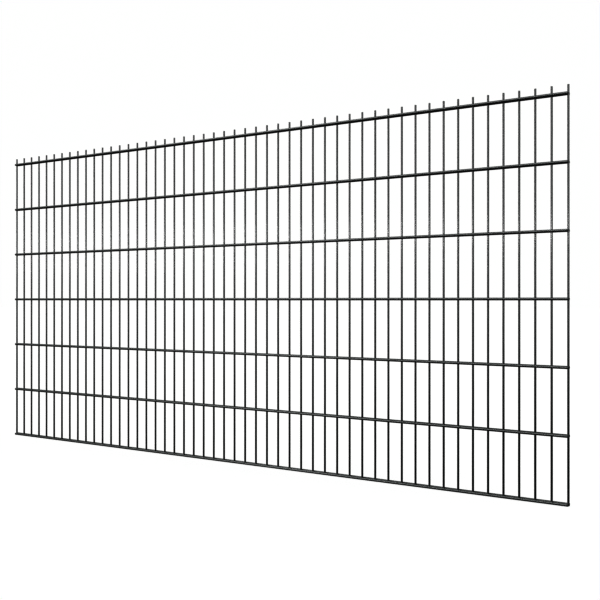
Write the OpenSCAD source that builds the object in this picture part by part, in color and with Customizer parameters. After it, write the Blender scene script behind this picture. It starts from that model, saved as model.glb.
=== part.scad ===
// Twin-rod welded mesh fence panel.
// A row of upright wires is clamped between pairs of level rods, one rod in
// front and one behind, and every crossing is welded. Z is up, X runs along
// the panel and the front looks towards -Y. The origin is the flat lower end
// of the middle upright wire.

/* [Mesh] */
// Distance between the axes of two neighbouring upright wires
wire_pitch = 50; // [30:1:100]
// Number of upright wires, odd so that one stands in the middle
wire_count = 51; // [9:2:101]
// Distance between the axes of two neighbouring rows of rods
rod_pitch = 200; // [50:5:300]
// Number of rows of rods
rod_rows = 7; // [2:1:12]

/* [Upright wires] */
// Diameter of an upright wire
wire_d = 6; // [5:0.5:8]
// Free length of the wires above the top rods
tip_length = 22; // [5:1:60]
// Width of the broken edge around the cut end of a wire
wire_edge = 0.4; // [0.1:0.1:1]

/* [Level rods] */
// Diameter of a level rod
rod_d = 8; // [6:0.5:12]
// Length of rod past the axis of the end wire
rod_overhang = 1; // [0.5:0.5:30]
// Width of the broken edge around the cut end of a rod
rod_edge = 0.4; // [0.1:0.1:0.5]

/* [Welds] */
// Depth by which a wire is pressed into a rod at a weld
set_down = 0.4; // [0.1:0.1:0.8]
// Diameter of the collar of weld metal around the contact
weld_d = 4.8; // [3.6:0.2:4.8]

/* [Colours] */
// Colour of the powder coat on the wires
wire_colour = "#3a3d3c"; // ["#3a3d3c":Anthracite, "#1f2221":Black, "#1d4a35":Green]
// Colour of the powder coat on the rods
rod_colour = "#2c2f2e"; // ["#2c2f2e":Anthracite, "#151817":Black, "#16402d":Green]

/* [Hidden] */
// Segments of every round surface
$fn = 48;
wire_r = wire_d / 2;
rod_r = rod_d / 2;
weld_r = weld_d / 2;
// The wires between the two end wires are shared out over this many nodes
wire_groups = 7;
inner_wires = wire_count - 2;
// Distance of a rod's axis from the plane of the wires
rod_y = wire_r + rod_r - set_down;
// The lower ends of the wires are flush with the underside of the lowest rods
first_rod_z = rod_r;
top_rod_z = first_rod_z + (rod_rows - 1) * rod_pitch;
wire_length = top_rod_z + rod_r + tip_length;
end_wire_x = (wire_count - 1) / 2 * wire_pitch;
rod_length = 2 * (end_wire_x + rod_overhang);

// Place of an upright wire along the panel, counted from 0 at the left end
function wire_x(i) = i * wire_pitch - end_wire_x;

// Height of a row of rods, counted from 1 at the bottom
function row_z(r) = first_rod_z + (r - 1) * rod_pitch;

// First wire of a group of inner wires, counted as wire_x counts
function group_start(g) = 1 + floor((g - 1) * inner_wires / wire_groups);

// A round bar along Z whose cut ends have a broken edge
module cut_bar(r, length, edge) {
    rotate_extrude()
        polygon([
            [0, 0],
            [r - edge, 0],
            [r, edge],
            [r, length - edge],
            [r - edge, length],
            [0, length]
        ]);
}

// One upright wire, from its flat lower end to its free tip
module upright_wire(i) {
    color(wire_colour)
        translate([wire_x(i), 0, 0])
            cut_bar(wire_r, wire_length, wire_edge);
}

// The wires of one group, each a bar of its own
module inner_wire_group(g) {
    for (i = [group_start(g):group_start(g + 1) - 1])
        upright_wire(i);
}

// Collar of weld metal between a wire and the rod behind it
module weld_collar(i) {
    translate([wire_x(i), 0, 0])
        rotate([-90, 0, 0])
            cylinder(r = weld_r, h = rod_y);
}

// The stretch of a wire that a rod is pressed onto
module wire_seat(i) {
    translate([wire_x(i), 0, -rod_d])
        cylinder(r = wire_r, h = 2 * rod_d);
}

// A level rod behind the wires at height 0, saddled over every wire
module level_rod() {
    color(rod_colour)
        difference() {
            union() {
                translate([-rod_length / 2, rod_y, 0])
                    rotate([0, 90, 0])
                        cut_bar(rod_r, rod_length, rod_edge);
                intersection() {
                    union() {
                        for (i = [0:wire_count - 1])
                            weld_collar(i);
                    }
                    translate([-rod_length / 2, 0, -rod_r])
                        cube([rod_length, rod_y, rod_d]);
                }
            }
            for (i = [0:wire_count - 1])
                wire_seat(i);
        }
}

// The rod on the back of a row
module back_rod(r) {
    translate([0, 0, row_z(r)])
        level_rod();
}

// The rod on the front of a row
module front_rod(r) {
    mirror([0, 1, 0])
        back_rod(r);
}

upright_wire(0);  // left_end_wire
upright_wire(wire_count - 1);  // right_end_wire
for (g = [1:wire_groups])
    inner_wire_group(g);
for (r = [1:rod_rows])
    front_rod(r);
for (r = [1:rod_rows])
    back_rod(r);
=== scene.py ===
"""A twin-rod welded mesh fence panel in a dark powder coat.

Lengths are in metres, in the frame of the solids: X along the panel, Z up, the
front towards -Y, and the origin at the foot of the middle upright wire.
"""
import math

import bpy
import numpy as np
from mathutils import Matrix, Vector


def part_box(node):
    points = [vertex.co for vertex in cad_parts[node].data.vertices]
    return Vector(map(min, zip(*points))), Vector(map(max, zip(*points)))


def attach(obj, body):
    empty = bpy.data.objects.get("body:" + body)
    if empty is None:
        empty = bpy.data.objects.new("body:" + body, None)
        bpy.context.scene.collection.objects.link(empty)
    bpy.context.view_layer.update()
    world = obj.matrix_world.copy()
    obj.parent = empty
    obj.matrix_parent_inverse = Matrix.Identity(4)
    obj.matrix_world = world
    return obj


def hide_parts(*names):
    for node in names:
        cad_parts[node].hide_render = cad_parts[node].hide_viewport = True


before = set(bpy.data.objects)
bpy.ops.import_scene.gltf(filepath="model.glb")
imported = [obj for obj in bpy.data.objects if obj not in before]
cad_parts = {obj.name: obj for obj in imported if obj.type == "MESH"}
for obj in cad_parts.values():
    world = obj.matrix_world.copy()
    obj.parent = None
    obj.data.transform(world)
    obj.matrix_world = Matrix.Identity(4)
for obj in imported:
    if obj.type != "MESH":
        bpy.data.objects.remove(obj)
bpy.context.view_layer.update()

# Sizes of the mesh, as in the solids
MM = 0.001
WIRE_PITCH = 50 * MM
WIRE_COUNT = 51
WIRE_R = 3 * MM
ROD_PITCH = 200 * MM
ROD_R = 4 * MM
SET_DOWN = 0.4 * MM
ROD_Y = WIRE_R + ROD_R - SET_DOWN
END_WIRE_X = (WIRE_COUNT - 1) / 2 * WIRE_PITCH
ROD_OVERHANG = 1 * MM
ROD_HALF = END_WIRE_X + ROD_OVERHANG
PANEL_TOP = 1230 * MM

# Fineness of the meshes
WIRE_SIDES = 28
ROD_SIDES = 36
EDGE_STEPS = 4
WELD_STEPS = 24
WELD_ARC_STEPS = 5
RUN_STEP = 40 * MM
SMOOTH_LIMIT = math.radians(40)

# The coat rounds every cut edge to about this radius
CUT_EDGE = 0.55 * MM
# A sheared end is out of square by this slope at most, and by this share of it at least
CUT_SLOPE = 0.035
CUT_SLOPE_SHARE = 0.2
# Radius of the flat middle of a cut end, as a share of the flat that the rounding leaves
CUT_MIDDLE_SHARE = 0.45
# Radius of the coated hollow beside a weld, how much it varies from weld to weld,
# and how much it varies round one weld
FILLET_R = 1.0 * MM
FILLET_RANGE = (0.85, 1.15)
FILLET_SPREAD = 0.22
# How deep the back of a weld ring is sunk into the bars that it joins, and into their corner
WELD_SINK = 0.25 * MM
CORNER_SINK = 3 * WELD_SINK
# Times that the search for the rolling ball's place is halved. It ends where the ball
# would stand beside the wire, or two rod radii out, and to find the first it divides by
# a direction's share along the rod, taken as at least this
HALVINGS = 40
LEAST_ALONG = 0.2
# Ups and downs of each term of a random wave, and the turn within which a term begins
WAVE_TERMS = (1, 2, 3, 5)
WAVE_START = 6.28
# A drawn wire strays from its line by up to this much between two rods
WIRE_STRAY = 0.15 * MM

chance = np.random.default_rng(8062)


def wire_x(i):
    """Place of an upright wire along the panel, counted from 0 at the left."""
    return i * WIRE_PITCH - END_WIRE_X


class Shape:
    """Vertices and faces gathered from many small forms into one mesh."""

    def __init__(self):
        self.points = []
        self.faces = []
        self.count = 0

    def add(self, points, faces):
        """Takes in one form, whose faces count its own points from 0."""
        self.points.append(np.asarray(points, float))
        self.faces += [[k + self.count for k in face] for face in faces]
        self.count += len(points)

    def piece(self, name, material):
        """One smooth-shaded object of all that was gathered."""
        mesh = bpy.data.meshes.new(name)
        mesh.from_pydata(np.vstack(self.points).tolist(), [], self.faces)
        mesh.polygons.foreach_set("use_smooth", [True] * len(mesh.polygons))
        mesh.set_sharp_from_angle(angle=SMOOTH_LIMIT)
        mesh.materials.append(material)
        mesh.update()
        obj = bpy.data.objects.new(name, mesh)
        bpy.context.scene.collection.objects.link(obj)
        return obj


def ring_faces(rings, sides, closed_rings=False):
    """Quads between neighbouring rings of points."""
    faces = []
    for a in range(rings if closed_rings else rings - 1):
        b = (a + 1) % rings
        for s in range(sides):
            t = (s + 1) % sides
            faces.append([a * sides + s, a * sides + t, b * sides + t, b * sides + s])
    return faces


def cut_bar(radius, low, high, sides, stray=None):
    """A bar along Z with rounded, slightly out-of-square cut ends.

    The axis may stray sideways, by what the function stray gives for a height.
    """
    turn = np.arange(sides) * 2 * math.pi / sides
    circle = np.stack([np.cos(turn), np.sin(turn)], 1)
    bend = np.linspace(0, math.pi / 2, EDGE_STEPS + 1)
    inset = CUT_EDGE * (1 - np.cos(bend))[::-1]
    rise = CUT_EDGE * (1 - np.sin(bend))[::-1]
    lean = chance.uniform(0, 2 * math.pi, 2)
    slope = chance.uniform(CUT_SLOPE_SHARE, 1, 2) * CUT_SLOPE
    middle = CUT_MIDDLE_SHARE * (radius - CUT_EDGE)

    def cut_end(end):
        """Rings from the middle of a cut end to the full bar, as radius and depth."""
        rings = []
        for r, depth in [(middle, 0.0)] + [(radius - i, d) for i, d in zip(inset, rise)]:
            across = circle @ [math.cos(lean[end]), math.sin(lean[end])]
            rings.append((r, depth + slope[end] * (radius + r * across)))
        return rings

    rings = [(r, low + depth) for r, depth in cut_end(0)]
    steps = max(1, round((high - low) / RUN_STEP))
    rings += [(radius, z) for z in np.linspace(low, high, steps + 1)[1:-1]]
    rings += [(r, high - depth) for r, depth in cut_end(1)[::-1]]
    points = []
    for r, z in rings:
        z = np.broadcast_to(z, sides)
        aside = stray(z) if stray else 0
        points.append(np.column_stack([circle * r + aside, z]))
    faces = ring_faces(len(rings), sides)
    faces.append(list(range(sides))[::-1])
    last = (len(rings) - 1) * sides
    faces.append([last + s for s in range(sides)])
    return np.vstack(points), faces


def along_x(points):
    """Lays a bar that stands along Z down along X."""
    return np.column_stack([points[:, 2], points[:, 0], points[:, 1]])


def wavy(turn, size):
    """A smooth closed wave of random shape, about 1."""
    wave = np.zeros_like(turn)
    for k in WAVE_TERMS:
        wave += chance.uniform(-1, 1) / k * np.sin(k * turn + chance.uniform(0, WAVE_START))
    return 1 + size * wave


def unit(vectors):
    """The same directions at length 1."""
    return vectors / np.linalg.norm(vectors, axis=1)[:, None]


def nearest_on_wire(p, foot):
    """Nearest point of the upright wire's surface, whose lower end is at height foot."""
    spread = np.hypot(p[:, 0], p[:, 1])
    share = np.minimum(WIRE_R / spread, 1)
    return np.column_stack([p[:, 0] * share, p[:, 1] * share, np.maximum(p[:, 2], foot)])


def nearest_on_rod(p, low, high):
    """Nearest point of the level rod's surface, which runs from low to high along X."""
    y = p[:, 1] - ROD_Y
    share = np.minimum(ROD_R / np.hypot(y, p[:, 2]), 1)
    return np.column_stack([np.clip(p[:, 0], low, high), ROD_Y + y * share, p[:, 2] * share])


def weld_hollow(x, foot):
    """The hollow ring of coat round one weld, between a wire and the rod behind it.

    A ball that touches both bars rolls round their contact. The ring's face is
    the part of the ball that looks into the corner, and its back is sunk in the
    bars. Heights are counted from the rod's axis, and foot is the wire's end.
    """
    low_end, high_end = -ROD_HALF - x, ROD_HALF - x
    turn = np.arange(WELD_STEPS) * 2 * math.pi / WELD_STEPS
    ball = FILLET_R * chance.uniform(*FILLET_RANGE) * wavy(turn, FILLET_SPREAD)
    c, s = np.cos(turn), np.sin(turn)

    def ball_centre(reach):
        """Centre of a ball that touches the wire, at a distance from the contact's axis."""
        cx, cz = reach * c, reach * s
        under = np.clip(foot - cz, 0, ball)
        spread = WIRE_R + np.sqrt(ball**2 - under**2)
        return np.column_stack([cx, np.sqrt(np.maximum(spread**2 - cx**2, 0)), cz])

    near = np.zeros(WELD_STEPS)
    far = np.minimum((WIRE_R + ball) / np.maximum(abs(c), LEAST_ALONG), 2 * ROD_R)
    for _ in range(HALVINGS):
        mid = (near + far) / 2
        centre = ball_centre(mid)
        gap = np.linalg.norm(centre - nearest_on_rod(centre, low_end, high_end), axis=1)
        near, far = np.where(gap < ball, mid, near), np.where(gap < ball, far, mid)
    centre = ball_centre(near)
    to_wire = unit(nearest_on_wire(centre, foot) - centre)
    to_rod = unit(nearest_on_rod(centre, low_end, high_end) - centre)
    angle = np.arccos(np.clip((to_wire * to_rod).sum(1), -1, 1))
    rings = []
    for t in np.linspace(0, 1, WELD_ARC_STEPS + 1):
        a = np.sin((1 - t) * angle) / np.sin(angle)
        b = np.sin(t * angle) / np.sin(angle)
        facing = to_wire * a[:, None] + to_rod * b[:, None]
        rings.append(centre + facing * ball[:, None])
    corner = centre + unit(to_wire + to_rod) * (ball + CORNER_SINK)[:, None]
    rings += [rings[-1] + to_rod * WELD_SINK, corner, rings[0] + to_wire * WELD_SINK]
    faces = ring_faces(len(rings), WELD_STEPS, closed_rings=True)
    return np.vstack(rings) + [x, 0, 0], [face[::-1] for face in faces]


class Nodes:
    """Adds shader nodes to a material or a world in few words."""

    def __init__(self, tree):
        self.tree = tree

    def add(self, kind, **values):
        """A new node of a kind, with its own settings."""
        node = self.tree.nodes.new(kind)
        for name, value in values.items():
            setattr(node, name, value)
        return node

    def link(self, source, target):
        self.tree.links.new(source, target)

    def noise(self, place, scale, detail, roughness=0.5):
        """A cloudy pattern from 0 to 1, whose scale is about its spots to a metre."""
        node = self.add("ShaderNodeTexNoise")
        self.link(place, node.inputs["Vector"])
        node.inputs["Scale"].default_value = scale
        node.inputs["Detail"].default_value = detail
        node.inputs["Roughness"].default_value = roughness
        return node.outputs["Fac"]

    def spread(self, value, limits, levels):
        """A value carried smoothly from one pair of limits to the two levels there."""
        node = self.add("ShaderNodeMapRange", interpolation_type="SMOOTHSTEP")
        self.link(value, node.inputs["Value"])
        sockets = ("From Min", "From Max", "To Min", "To Max")
        for name, number in zip(sockets, (*limits, *levels)):
            node.inputs[name].default_value = number
        return node.outputs["Result"]

    def math(self, operation, a, b):
        """The outcome of an operation on two values, each a number or a node's output."""
        node = self.add("ShaderNodeMath", operation=operation)
        for socket, value in zip(node.inputs, (a, b)):
            if isinstance(value, (int, float)):
                socket.default_value = value
            else:
                self.link(value, socket)
        return node.outputs["Value"]

    def parts(self, vector):
        """The X, Y and Z of a vector."""
        node = self.add("ShaderNodeSeparateXYZ")
        self.link(vector, node.inputs["Vector"])
        return node.outputs["X"], node.outputs["Y"], node.outputs["Z"]

    def along(self, direction, side):
        """How far a direction points to one side, from -1 to 1."""
        node = self.add("ShaderNodeVectorMath", operation="DOT_PRODUCT")
        self.link(direction, node.inputs[0])
        node.inputs[1].default_value = side
        return node.outputs["Value"]

    def ramp(self, value, stops):
        """A level that changes evenly between stops, each a value from -1 to 1 and its level."""
        node = self.add("ShaderNodeValToRGB")
        self.link(self.math("ADD", self.math("MULTIPLY", value, 0.5), 0.5), node.inputs["Fac"])
        marks = node.color_ramp.elements
        while len(marks) < len(stops):
            marks.new(0.5)
        for mark, (place, level) in zip(marks, stops):
            mark.position = 0.5 + place / 2
            mark.color = (level, level, level, 1)
        return node.outputs["Color"]

    def background(self, strength):
        """A white background, of a fixed strength or a linked one."""
        node = self.add("ShaderNodeBackground")
        node.inputs["Color"].default_value = (1, 1, 1, 1)
        if isinstance(strength, (int, float)):
            node.inputs["Strength"].default_value = strength
        else:
            self.link(strength, node.inputs["Strength"])
        return node.outputs["Background"]

    def either(self, choice, no, yes):
        """One of two shaders, as the choice says."""
        node = self.add("ShaderNodeMixShader")
        self.link(choice, node.inputs["Fac"])
        self.link(no, node.inputs[1])
        self.link(yes, node.inputs[2])
        return node.outputs["Shader"]

    def blend(self, amount, first, second):
        """A mix of two colours, each a plain colour or a node's output."""
        node = self.add("ShaderNodeMix", data_type="RGBA")
        self.link(amount, node.inputs["Factor"])
        for name, colour in (("A", first), ("B", second)):
            socket = next(s for s in node.inputs if s.name == name and s.type == "RGBA")
            if isinstance(colour, tuple):
                socket.default_value = (*colour, 1)
            else:
                self.link(colour, socket)
        return next(s for s in node.outputs if s.type == "RGBA")


# The coat, its paler clouds and specks, what shows where it is thin, and dust
COAT = (0.0270, 0.0365, 0.0335)
COAT_WORN = (0.0405, 0.0505, 0.0475)
COAT_THIN = (0.085, 0.088, 0.088)
DUST = (0.12, 0.115, 0.105)
# Size of the lumpier and dustier patch round a weld
WELD_PATCH = 7 * MM
# Length of a bar's end on which the coat is thin
THIN_END = 0.7 * MM

# Scales of the coat's patterns, in spots to a metre
CLOUD_SCALE = 5.0
GRAIN_SCALE = 2600.0
SCUFF_SCALE = 700.0
DUST_SCALE = 90.0
GLOSS_SCALE = 60.0
PEEL_SCALE = 440.0
LUMP_SCALE = 420.0

# Where each pattern sets in and is full, and how strong it is at those two
CLOUDS = ((0.35, 0.7), (0.0, 0.8))
SPECKS = ((0.58, 0.75), (0.0, 0.5))
SCUFFS = ((0.4, 0.65), (0.2, 1.0))
FACING_UP = ((0.55, 1.0), (0.0, 1.0))
DUST_SPOTS = ((0.42, 0.72), (0.0, 0.22))
ROUGHNESS = ((0.3, 0.7), (0.09, 0.15))
LUMPS = ((0.45, 0.85), (0.0, 2.0))

# Dust round a weld, as a share of that on what faces up
WELD_DUST = 0.5
# What dust and a thin coat add to the roughness
DUST_ROUGH = 0.10
THIN_ROUGH = 0.15
# Height of the orange peel, how strongly it shows, and the grain's share of it
PEEL_HEIGHT = 0.05 * MM
PEEL_STRENGTH = 0.8
GRAIN_SHARE = 0.08


def powder_coat():
    """Near-black anthracite powder coat, semi-gloss.

    It has pale clouds and specks, orange peel, dust on what faces up and round
    the welds, low lumps round the welds and a thin grey rim on the cut ends.
    """
    material = bpy.data.materials.new("powder_coat")
    material.use_nodes = True
    n = Nodes(material.node_tree)
    shader = material.node_tree.nodes["Principled BSDF"]
    place = n.add("ShaderNodeTexCoord").outputs["Object"]
    x, y, z = n.parts(place)
    up = n.parts(n.add("ShaderNodeNewGeometry").outputs["Normal"])[2]

    from_wire = n.math("PINGPONG", x, WIRE_PITCH / 2)
    from_rod = n.math("PINGPONG", n.math("SUBTRACT", z, ROD_R), ROD_PITCH / 2)
    from_weld = n.math("MAXIMUM", from_wire, from_rod)
    weld = n.spread(from_weld, (WELD_PATCH / 2, WELD_PATCH), (1.0, 0.0))
    tip = n.spread(z, (PANEL_TOP - THIN_END, PANEL_TOP), (0.0, 1.0))
    from_middle = n.math("ABSOLUTE", x, 0.0)
    rod_end = n.spread(from_middle, (ROD_HALF - THIN_END, ROD_HALF), (0.0, 1.0))
    on_rod = n.math("GREATER_THAN", n.math("ABSOLUTE", y, 0.0), WIRE_R)
    thin = n.math("MAXIMUM", tip, n.math("MULTIPLY", rod_end, on_rod))

    grain = n.noise(place, GRAIN_SCALE, 2.0)
    clouds = n.spread(n.noise(place, CLOUD_SCALE, 3.0), *CLOUDS)
    scuffs = n.spread(n.noise(place, SCUFF_SCALE, 4.0, 0.7), *SCUFFS)
    colour = n.blend(clouds, COAT, COAT_WORN)
    colour = n.blend(n.spread(grain, *SPECKS), colour, COAT_WORN)
    colour = n.blend(n.math("MULTIPLY", thin, scuffs), colour, COAT_THIN)
    settled = n.spread(up, *FACING_UP)
    dusty = n.math("MAXIMUM", settled, n.math("MULTIPLY", weld, WELD_DUST))
    spots = n.spread(n.noise(place, DUST_SCALE, 4.0, 0.65), *DUST_SPOTS)
    colour = n.blend(n.math("MULTIPLY", dusty, spots), colour, DUST)
    n.link(colour, shader.inputs["Base Color"])

    rough = n.spread(n.noise(place, GLOSS_SCALE, 3.0), *ROUGHNESS)
    rough = n.math("ADD", rough, n.math("MULTIPLY", dusty, DUST_ROUGH))
    rough = n.math("ADD", rough, n.math("MULTIPLY", thin, THIN_ROUGH))
    n.link(rough, shader.inputs["Roughness"])

    peel = n.noise(place, PEEL_SCALE, 0.0)
    lumps = n.spread(n.noise(place, LUMP_SCALE, 0.0), *LUMPS)
    height = n.math("ADD", peel, n.math("MULTIPLY", grain, GRAIN_SHARE))
    height = n.math("ADD", height, n.math("MULTIPLY", weld, lumps))
    bump = n.add("ShaderNodeBump")
    n.link(height, bump.inputs["Height"])
    bump.inputs["Distance"].default_value = PEEL_HEIGHT
    bump.inputs["Strength"].default_value = PEEL_STRENGTH
    n.link(bump.outputs["Normal"], shader.inputs["Normal"])
    shader.inputs["Specular IOR Level"].default_value = 0.5
    return material


coat = powder_coat()


def dress(node, shape):
    """Puts a finished piece in the place of its plain solid."""
    piece = shape.piece(f"{node}_coated", coat)
    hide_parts(node)
    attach(piece, "root")


def wire_stray(inward):
    """How far a wire strays sideways at a height: nothing at the rods, most between them.

    An end wire strays inward only, so that the panel keeps its length.
    """
    rows = int(PANEL_TOP / ROD_PITCH) + 1
    aside = chance.uniform(-WIRE_STRAY, WIRE_STRAY, (rows, 2))
    if inward:
        aside[:, 0] = abs(aside[:, 0]) * inward

    def stray(z):
        part = np.maximum(z - ROD_R, 0) / ROD_PITCH
        row = np.minimum(part.astype(int), rows - 1)
        return aside[row] * (np.sin(math.pi * part) ** 2)[:, None]

    return stray


def make_wires(node):
    """The upright wires that stand within a node's box."""
    low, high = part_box(node)
    shape = Shape()
    for i in range(WIRE_COUNT):
        x = wire_x(i)
        if low.x < x < high.x:
            inward = 1 if i == 0 else -1 if i == WIRE_COUNT - 1 else 0
            points, faces = cut_bar(WIRE_R, 0, PANEL_TOP, WIRE_SIDES, wire_stray(inward))
            shape.add(points + [x, 0, 0], faces)
    dress(node, shape)


def make_rod(node):
    """A level rod with the welds that it carries."""
    low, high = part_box(node)
    row = round(low.z / ROD_PITCH)
    side = 1 if low.y + high.y > 0 else -1
    shape = Shape()
    points, faces = cut_bar(ROD_R, -ROD_HALF, ROD_HALF, ROD_SIDES)
    shape.add(along_x(points) + [0, ROD_Y, 0], faces)
    height = ROD_R + row * ROD_PITCH
    for i in range(WIRE_COUNT):
        shape.add(*weld_hollow(wire_x(i), -height))
    shape.points = [p * [1, side, 1] + [0, 0, height] for p in shape.points]
    if side < 0:
        shape.faces = [face[::-1] for face in shape.faces]
    dress(node, shape)


for name in sorted(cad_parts):
    if "wire" in name:
        make_wires(name)
    else:
        make_rod(name)
for cad_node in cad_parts.values():
    cad_node.data.materials.clear()
    cad_node.data.materials.append(coat)


# Where the photograph was taken from, fitted to the wires, rods and tips
EYE = (2147.06 * MM, -2645.58 * MM, 600.93 * MM)
TURN = math.radians(34.992)
# Focal length for a sensor of this width, both in millimetres
FOCAL = 55.213
SENSOR = 36.0
# The camera sees this far, past the edge of the floor
SIGHT = 200.0


def make_camera():
    """A level camera at the photograph's viewing angle."""
    data = bpy.data.cameras.new("camera")
    data.lens = FOCAL
    data.sensor_width = SENSOR
    data.clip_end = SIGHT
    camera = bpy.data.objects.new("camera", data)
    camera.location = EYE
    camera.rotation_euler = (math.pi / 2, 0, TURN)
    bpy.context.scene.collection.objects.link(camera)
    bpy.context.scene.camera = camera


# Half the floor's width, and how far it lies below the panel's lower edge
FLOOR_HALF = 60.0
FLOOR_DROP = 1 * MM
# Grey of the floor and the glow that makes it as white as the photograph's ground
FLOOR_GREY = (0.1, 0.1, 0.1, 1)
FLOOR_ROUGHNESS = 0.9
FLOOR_GLOW = 0.91


def make_floor():
    """A plain pale floor under the panel, which neither lights it nor shows in its gloss."""
    shape = Shape()
    corners = [(-1, -1), (1, -1), (1, 1), (-1, 1)]
    shape.add([[a * FLOOR_HALF, b * FLOOR_HALF, -FLOOR_DROP] for a, b in corners], [[0, 1, 2, 3]])
    material = bpy.data.materials.new("floor")
    material.use_nodes = True
    shader = material.node_tree.nodes["Principled BSDF"]
    shader.inputs["Base Color"].default_value = FLOOR_GREY
    shader.inputs["Roughness"].default_value = FLOOR_ROUGHNESS
    shader.inputs["Specular IOR Level"].default_value = 0.0
    shader.inputs["Emission Color"].default_value = (1, 1, 1, 1)
    shader.inputs["Emission Strength"].default_value = FLOOR_GLOW
    floor = shape.piece("floor", material)
    floor.visible_glossy = False
    floor.visible_diffuse = False


# Brightness of the surroundings in a reflection, by how far its direction points up
REFLECTED = (
    (-1.00, 0.20),
    (-0.40, 0.20),
    (-0.22, 0.03),
    (-0.15, 0.03),
    (-0.10, 0.26),
    (-0.05, 0.50),
    (0.00, 0.72),
    (0.03, 1.00),
    (1.00, 1.05),
)
# How much brighter or dimmer they are by how far it points to the right along the panel.
# They are dim straight to the right, or the tops of the rods shine white from the left end.
ALONG = (
    (-1.00, 0.60),
    (-0.78, 0.64),
    (-0.71, 0.95),
    (-0.56, 1.42),
    (-0.50, 1.02),
    (-0.35, 0.97),
    (-0.20, 1.14),
    (0.85, 1.14),
    (0.96, 0.40),
    (1.00, 0.12),
)
# The studio's bright side in the gloss, its brightness, the share of it on the opposite
# side, and between which two measures of facing that side the one fades into the other
BRIGHT_SIDE = (0.55, -0.835, 0.0)
GLOSS_LIGHT = 5.4
DIM_SHARE = 0.20
BRIGHT_FADE = (-0.3, 0.55)
# A large soft lamp in the gloss, high on the left of the front, as the bright side is given
LAMP_SIDE = (-0.60, -0.60, 0.53)
LAMP_LIGHT = 3.45
LAMP_FADE = (0.58, 0.97)
# Light on the coat's own colour from above, the share of it from below, and between
# which two heights of its direction the one fades into the other
SOFT_LIGHT = 1.05
GROUND_SHARE = 0.15
HORIZON_FADE = (-0.05, 0.05)

# Two long low lamps before the panel, as place, width, height and brightness
LAMPS = (
    ((600 * MM, -2420 * MM, 1000 * MM), 3000 * MM, 110 * MM, 19.0),
    ((-500 * MM, -950 * MM, 780 * MM), 1000 * MM, 30 * MM, 12.0),
)


def make_lamps():
    """The lamps whose reflections are the two gleams on every wire."""
    for i, (place, width, height, brightness) in enumerate(LAMPS):
        data = bpy.data.lights.new(f"lamp_{i + 1}", "AREA")
        data.shape = "RECTANGLE"
        data.size = width
        data.size_y = height
        data.energy = brightness * math.pi * width * height
        lamp = bpy.data.objects.new(f"lamp_{i + 1}", data)
        lamp.location = place
        lamp.rotation_euler = (math.pi / 2, 0, 0)
        lamp.visible_camera = False
        lamp.visible_diffuse = False
        bpy.context.scene.collection.objects.link(lamp)


def make_light():
    """Surroundings that are white to the camera and light the panel softly from above.

    The gloss has its own, with a bright side, a soft lamp and a dim ground.
    """
    world = bpy.data.worlds.new("studio")
    bpy.context.scene.world = world
    world.use_nodes = True
    n = Nodes(world.node_tree)
    world.node_tree.nodes.clear()
    direction = n.add("ShaderNodeTexCoord").outputs["Generated"]
    along, _, up = n.parts(direction)
    side_levels = (GLOSS_LIGHT * DIM_SHARE, GLOSS_LIGHT)
    side = n.spread(n.along(direction, BRIGHT_SIDE), BRIGHT_FADE, side_levels)
    lamp = n.spread(n.along(direction, LAMP_SIDE), LAMP_FADE, (0.0, LAMP_LIGHT))
    gloss = n.math("ADD", n.math("MULTIPLY", n.ramp(up, REFLECTED), side), lamp)
    gloss = n.background(n.math("MULTIPLY", gloss, n.ramp(along, ALONG)))
    soft = n.background(n.spread(up, HORIZON_FADE, (GROUND_SHARE * SOFT_LIGHT, SOFT_LIGHT)))
    plain = n.background(1.0)
    seen = n.add("ShaderNodeLightPath")
    light = n.either(seen.outputs["Is Glossy Ray"], soft, gloss)
    light = n.either(seen.outputs["Is Camera Ray"], light, plain)
    n.link(light, n.add("ShaderNodeOutputWorld").inputs["Surface"])


make_camera()
make_floor()
make_lamps()
make_light()
bpy.context.scene.view_settings.view_transform = "Raw"

bpy.context.view_layer.update()
